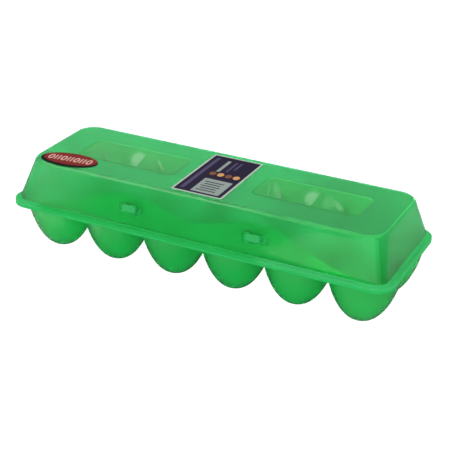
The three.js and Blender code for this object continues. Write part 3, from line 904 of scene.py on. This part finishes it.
# %% Plastic on the pieces
RIM_BAND = 1.5 * MM
RIM_SLACK = 0.1 * MM
SLOT_MARGIN = 0.5 * MM
put_on(lid, glossy, frosted, polished, foot, end_wall, inner, painted_light_inside, numbers=finish)
put_on(web, glossy)
put_on(frame["nodes"]["flap_hinge_web"], tray_plastic)
put_on(divider_posts, posts_painted_pale)
for side in ("left", "right"):
    put_on(bpy.data.objects[f"catch_button_nose_{side}"], button_plastic)
middles = face_middles(tray)
inside = np.array([face.normal.z for face in tray.data.polygons]) > 0
from_rim = outline_distance(middles[:, 0], middles[:, 1] - MIDDLE_Y, RIM_LENGTH, RIM_DEPTH, RIM_CORNER)
at_rim = (middles[:, 2] > DECK_UNDERSIDE - RIM_SLACK) & (from_rim > -RIM_BAND)
put_on(tray, tray_plastic, painted_light_inside, edge_on, numbers=np.where(at_rim, 2, inside))
middles = face_middles(flap)
from_slot = from_pair(middles[:, 0], middles[:, 2] - SLOT_MIDDLE, SLOT_OFFSET, SLOT)
put_on(flap, flap_plastic, edge_on, numbers=from_slot < SLOT_MARGIN)

# %% [markdown]
# ## The printed label and the oval sticker
# Both are thin plastic film, printed and laid on the lid, and so a little less glossy than the moulding.
# Their print is a plain design of panels, bars and egg shapes. It is drawn in millimetres from the
# sticker's middle, which a Mapping node gives, as a list of shapes that are painted one over another.

# %% Printing in layers
FILM_ROUGHNESS, FILM_SPECULAR = 0.35, 0.08
INK_GRAIN, INK_DEPTH = 0.5 * MM, 0.1


def painted(tree, at, under, colour, middle, size, oval=False):
    """A rectangle or an oval over what is under it: inside is where the distance is below one half."""
    part = vectors(tree, "DIVIDE", vectors(tree, "SUBTRACT", at, (*middle, 0)), (*size, 1))
    if oval:
        reach = vectors(tree, "LENGTH", vectors(tree, "MULTIPLY", part, (1, 1, 0)))
    else:
        sides = add_node(tree, "SeparateXYZ", in0=vectors(tree, "ABSOLUTE", part))
        reach = combined(tree, "MAXIMUM", sides.outputs["X"], sides.outputs["Y"])
    return mixed(tree, combined(tree, "LESS_THAN", reach, 0.5), under, linear(colour))


def printed_film(name, piece, middle, turn, paper, shapes):
    """Printed film: the paper's colour with each shape painted over it, and a faint grain of ink.

    The shapes are drawn in millimetres from the sticker's middle, along and across it."""
    material, tree, place = new_material(name)
    at = add_node(tree, "Mapping", {
        "vector_type": "TEXTURE", "Location": tuple(middle), "Rotation": (0, 0, turn),
        "Scale": (MM, MM, MM)}, Vector=place).outputs["Vector"]
    ink = linear(paper)
    for colour, middle, size, *oval in shapes:
        ink = painted(tree, at, ink, colour, middle, size, *oval)
    add_surface(tree, {"Roughness": FILM_ROUGHNESS, "Specular IOR Level": FILM_SPECULAR},
                **{"Base Color": ink, "Normal": bumped(tree, place, INK_GRAIN, INK_DEPTH)})
    put_on(piece, material)


# %% [markdown]
# The label is a dark panel with a pale margin. On it are a lighter square, rows of bars that get shorter by
# turns, four egg shapes in two browns and some thin strips. No lettering is drawn.

# %% The label's design
PALE, PLUM, MIST, SHELL, BROWN, SLATE = "#a8b8a8", "#221a34", "#8a9690", "#c8935c", "#7a4f30", "#4c4662"
label_shapes = [(PLUM, (0, 0), (37, 70)), (MIST, (4.5, -20), (22, 25)), (SLATE, (-14, 0), (3, 62))]
label_shapes += [(PLUM, (3.5, -13 - 3.8 * row), (15 - 2.5 * (row % 2), 1.3)) for row in range(5)]
label_shapes += [(SHELL if egg % 2 else BROWN, (-5.5 + 6.3 * egg, 2.5), (5, 6.6), True) for egg in range(4)]
label_shapes += [(MIST, (-4, 18), (2.6, 22)), (SLATE, (2, 19), (1.6, 20)), (SLATE, (6, 22), (1.6, 14))]
label_middle = np.mean(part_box("lid_label"), axis=0)
printed_film("printed_film_label", frame["nodes"]["lid_label"], label_middle, 0, PALE, label_shapes)

# %% [markdown]
# The oval sticker has a dark border round a deep red field, with four pale rings in a row and thin strokes
# between them, where the real one has its print.

# %% The oval sticker's design
RED, INK, ROSE = "#7a1f1c", "#0e0806", "#cc9c90"
sticker_shapes = [(RED, (0, 1), (43.2, 21.2), True)]
sticker_shapes += [(ROSE, (-15.3 + 10.2 * mark, 0.6), (4.4, 8.8), True) for mark in range(4)]
sticker_shapes += [(RED, (-15.3 + 10.2 * mark, 0.6), (1.7, 5.2), True) for mark in range(4)]
sticker_shapes += [(ROSE, (-11.6 + 10.2 * mark + step, 0.6), (1.2, 8.2))
                   for mark in range(3) for step in (0, 2.6)]
printed_film("printed_film_sticker", film, STICKER_MIDDLE, STICKER_TURN, INK, sticker_shapes)

# %% [markdown]
# ## Floor and light
# The box stands on a white light table, so that no shadow shows. A glossy wall is as dark or as bright as
# what it mirrors, so the room around the table matters as much as its lamps: it is dark low in front, where
# the photographer stands, with a white card on each side, and a softbox hangs above the dark part. Higher
# up and farther back the room gets brighter.

# %% What the gloss mirrors
def by_ray(tree, direct, reflected):
    """One value for plain rays, and another for those that come straight from a glossy reflection."""
    ray = add_node(tree, "LightPath")
    share = combined(tree, "MULTIPLY", ray.outputs["Is Glossy Ray"], ray.outputs["Is Reflection Ray"])
    return chosen(tree, share, direct, reflected)


def share_along(tree, axis, direction):
    """How far a direction or a point reaches along an axis: their dot product."""
    return vectors(tree, "DOT_PRODUCT", direction, tuple(axis))


UP, RIGHTWARD, LEFTWARD, FORWARD = (0, 0, 1), (1, 0, 0), (-1, 0, 0), (0, -1, 0)


# %% [markdown]
# Under the box less light comes from the table, because the box stands in the way. In the gloss of the cups
# the table is dark close to the box and behind it, grey farther out in front, and white at the left front.
# The distance from the box is measured on an oval two and a half times as long as deep.

# %% The light table
TABLE_GLOW, TABLE_UNDER = 1.1, 0.75
TABLE_SHADE, TABLE_GREY, TABLE_WHITE = 0.02, 0.45, 0.95
TABLE_BEHIND = 0.3
OVAL_SQUEEZE = 0.4
TABLE_SIZE = 3.0
corners = np.array([[-1, -1, 0], [1, -1, 0], [1, 1, 0], [-1, 1, 0]]) * TABLE_SIZE
floor = make_piece("studio_floor", (corners, np.array([[0, 1, 2, 3]])))
floor_paint, tree, place = new_material("white_light_table")
away = vectors(tree, "LENGTH", vectors(tree, "MULTIPLY", place, (OVAL_SQUEEZE, 1, 0)))
forward = share_along(tree, FORWARD, place)
leftward = share_along(tree, LEFTWARD, place)
seen = combined(tree, "MULTIPLY", stepped(tree, forward, 0.0, 80 * MM, TABLE_BEHIND, 1.0),
                stepped(tree, away, 45 * MM, 80 * MM, TABLE_SHADE, TABLE_GREY))
white = combined(tree, "MULTIPLY", stepped(tree, leftward, 88 * MM, 104 * MM, 0.0, TABLE_WHITE),
                 stepped(tree, forward, 35 * MM, 75 * MM))
seen = combined(tree, "MAXIMUM", seen, white)
lamp = chosen(tree, add_node(tree, "LightPath").outputs["Is Camera Ray"],
              stepped(tree, away, 50 * MM, 130 * MM, TABLE_UNDER, TABLE_GLOW), TABLE_GLOW)
add_surface(tree, {"Base Color": (0.1, 0.1, 0.1, 1), "Roughness": 0.9, "Specular IOR Level": 0.0,
                   "Emission Color": (1, 1, 1, 1)}, **{"Emission Strength": by_ray(tree, lamp, seen)})
put_on(floor, floor_paint)

# %% [markdown]
# The room is written as a function of direction. Each part of it is one smooth step along some axis: how
# far a direction lies in front, how high it is, on which side of a card's edge, and how close it is to a
# lamp. The left of the room is brighter than the right, up to its far left, which is dim. The softbox is
# cut off along a straight edge, and a small lamp over the front corner draws the bright spot on the crown.

# %% The room by direction
WHITE_LOW, WHITE_HIGH = 1.1, 1.2
WHITE_LEFT, WHITE_RIGHT = 1.08, 0.92
ROOM_LOW, ROOM_HIGH = 0.12, 0.6
SHADE_RIGHT, SHADE_LEFT, SHADE_FAR_LEFT = 0.45, 1.08, 0.3
DARK_FRONT = 0.06
CARD_GLOW = 0.85
SOFTBOX_GLOW, SOFTBOX_CUT = 1.7, 0.2
FRONT = (-0.4, -0.917, 0)
LEFT = (-0.908, -0.42, 0)
LEFT_CARD_EDGE = (-0.87, 0.492, 0)
CARD_EDGE = (0.54527, -0.26851, -0.79409)
SOFTBOX = (-0.492, -0.413, 0.766)
CORNER_LAMP = (0.185, -0.387, 0.903)

world = bpy.data.worlds.new("white_room")
bpy.context.scene.world = world
world.use_nodes = True
tree = world.node_tree
tree.nodes.clear()
way = add_node(tree, "TexCoord").outputs["Generated"]


def toward(axis, low, high, at_low=0.0, at_high=1.0):
    """A smooth step while the direction's share along an axis goes from low to high."""
    return stepped(tree, share_along(tree, axis, way), low, high, at_low, at_high)


lit = combined(tree, "MAXIMUM", toward(FRONT, 0.2, 0.6, 1.0, 0.0), toward(UP, 0.42, 0.55), DARK_FRONT)
room = combined(tree, "MULTIPLY", toward(UP, 0.0, 0.95, ROOM_LOW, ROOM_HIGH),
                toward(LEFT, -0.15, 0.15, SHADE_RIGHT, SHADE_LEFT), lit)
for edge, softness in ((CARD_EDGE, 0.002), (LEFT_CARD_EDGE, 0.03)):
    card = combined(tree, "MULTIPLY", toward(edge, -softness, softness),
                    toward(FRONT, 0.2, 0.4, 0.0, CARD_GLOW))
    room = combined(tree, "MAXIMUM", room, card)
room = combined(tree, "MULTIPLY", room, toward(LEFTWARD, 0.55, 0.75, 1.0, SHADE_FAR_LEFT))
softbox = combined(tree, "MULTIPLY", toward(SOFTBOX, 0.94, 0.99, 0.0, SOFTBOX_GLOW),
                   toward(RIGHTWARD, -0.365, -0.345, 1.0, SOFTBOX_CUT))
room = combined(tree, "ADD", softbox, toward(CORNER_LAMP, 0.985, 0.995), room)

# %% [markdown]
# Umbrella lamps and their stands behind the table show as glints in the polished windows. A flat top
# mirrors the room as a camera below it would see it, so each glint is placed by where it is seen in the
# picture, in pixels, through the camera's own axes turned upside down. An umbrella is an oval with one side
# cut away. A stand is a narrow oval with its middle, its size, its turn in degrees and its strength.

# %% Glints in the windows
GLINT_GLOW = 0.95
GLINT_CORE = 0.5
LEAST_AHEAD = 0.05
UMBRELLAS = [(139, 160), (313, 199)]
UMBRELLA_SIZE = (21, 19)
UMBRELLA_CUT, CUT_FROM, CUT_TO = (0.8, 0.6, 0), 0.15, 0.3
STANDS = [((98.5, 149), (9, 24), 0, 0.1), ((106.5, 156), (3.4, 13), -25, 0.5),
          ((152, 161), (20, 18), 15, 0.1), ((161, 166), (4.4, 15), -28, 0.6),
          ((268.5, 192), (1.8, 17), 12, 0.5), ((277.5, 192), (8, 20), -22, 0.45),
          ((329, 203), (16, 16), 0, 0.3), ((338.5, 206), (6.5, 15), -35, 0.65),
          ((366, 209), (3.6, 14), 42, 0.6)]
upside_down = [Vector((axis.x, axis.y, -axis.z)) for axis in (right, -above, sight)]
ahead = combined(tree, "MAXIMUM", share_along(tree, upside_down[2], way), LEAST_AHEAD)
across, down = (combined(tree, "MULTIPLY", combined(tree, "DIVIDE", share_along(tree, axis, way), ahead),
                         FOCAL_PIXELS) for axis in upside_down[:2])
seen_at = add_node(tree, "CombineXYZ", X=across, Y=down).outputs["Vector"]


def glint(middle, size, turn=0):
    """A soft oval in the mirrored picture: 1 inside, and fading to 0 towards its edge."""
    from_middle = np.array(middle) - PICTURE_PIXELS / 2
    at = add_node(tree, "Mapping", {
        "vector_type": "TEXTURE", "Location": (*from_middle, 0),
        "Rotation": (0, 0, np.radians(turn)), "Scale": (size[0] / 2, size[1] / 2, 1)},
        Vector=seen_at).outputs["Vector"]
    return at, stepped(tree, vectors(tree, "LENGTH", at), GLINT_CORE, 1.0, 1.0, 0.0)


glints = 0.0
for middle in UMBRELLAS:
    at, oval = glint(middle, UMBRELLA_SIZE)
    half = stepped(tree, share_along(tree, UMBRELLA_CUT, at), CUT_FROM, CUT_TO, 1.0, 0.0)
    glints = combined(tree, "ADD", glints, combined(tree, "MULTIPLY", oval, half))
for *stand, strength in STANDS:
    glints = combined(tree, "ADD", glints, combined(tree, "MULTIPLY", glint(*stand)[1], strength))
room = combined(tree, "ADD", room, combined(tree, "MULTIPLY", glints, GLINT_GLOW))

# %% [markdown]
# Only the gloss sees that room. Every other ray meets a plain white one, slightly brighter above and at the
# left, so the gloss could be shaped without changing how the box is lit.

# %% The room's light
plain = combined(tree, "MULTIPLY", toward(UP, -0.2, 1.0, WHITE_LOW, WHITE_HIGH),
                 toward(RIGHTWARD, -1.0, 1.0, WHITE_LEFT, WHITE_RIGHT))
background = add_node(tree, "Background", {"Color": (1, 1, 1, 1)},
                      Strength=by_ray(tree, plain, room))
add_node(tree, "OutputWorld", Surface=background.outputs["Background"])
bpy.context.scene.view_settings.view_transform = "Standard"
